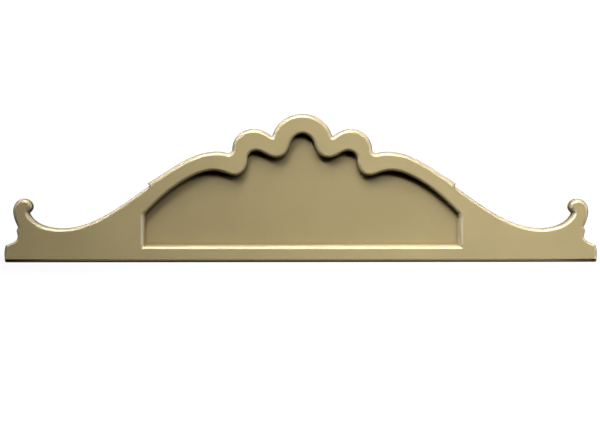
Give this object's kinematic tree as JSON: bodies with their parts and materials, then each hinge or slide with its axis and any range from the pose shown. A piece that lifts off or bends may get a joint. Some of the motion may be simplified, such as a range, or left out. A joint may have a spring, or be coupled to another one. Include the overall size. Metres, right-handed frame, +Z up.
{
  "type": "scroll onlay",
  "caption": "Flat mirrored pediment onlay with a lobed crest, long wings ending in small scrolls, and a recessed arched panel, for the top of a cabinet, mirror or door.",
  "frame": {"origin": "under the middle of the base, halfway through the thickness", "axes": "+X to the right along the base, +Y from the carved front to the flat back, +Z up; the carved front faces -Y"},
  "size_m": [0.6, 0.015, 0.15],
  "materials": {
    "champagne_gold": "carved wood under smooth satin champagne-gold paint"
  },
  "bodies": {
    "root": {"scroll_onlay": "champagne_gold"}
  },
  "joints": []
}
